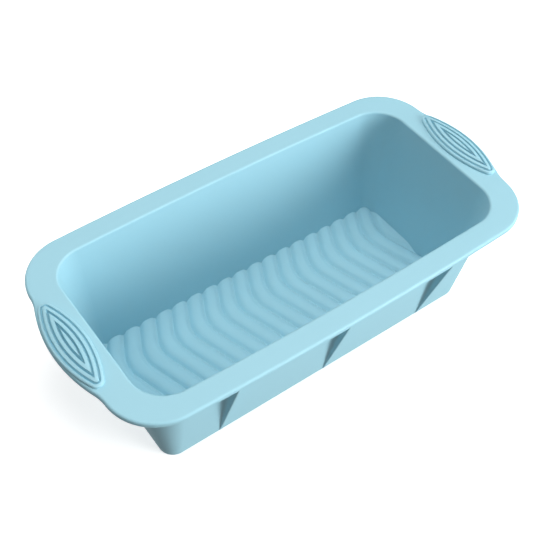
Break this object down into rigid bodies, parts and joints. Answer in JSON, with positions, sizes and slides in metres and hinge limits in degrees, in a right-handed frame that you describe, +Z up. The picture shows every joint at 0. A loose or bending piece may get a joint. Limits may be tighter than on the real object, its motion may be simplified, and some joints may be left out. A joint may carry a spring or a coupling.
{
  "type": "soap mould",
  "caption": "Silicone loaf mould for soap: a tapered open tub with a flat rim, bulging end grips, stiffening ribs under the rim and a waved floor.",
  "frame": {"origin": "centre of the base, on the surface the mould stands on", "axes": "+X along the loaf, from one end grip to the other; +Z up, out of the opening; +Y from the front long side to the back one"},
  "size_m": [0.2736, 0.1346, 0.0759],
  "materials": {
    "silicone": "matte light blue, opaque"
  },
  "bodies": {
    "root": {"floor_slab": "silicone", "floor_waves": "silicone", "tub_walls": "silicone", "rim_flange": "silicone", "grip_pad_left": "silicone", "grip_pad_right": "silicone", "rib_front_left": "silicone", "rib_front_middle": "silicone", "rib_front_right": "silicone", "rib_back_left": "silicone", "rib_back_middle": "silicone", "rib_back_right": "silicone"}
  },
  "joints": []
}
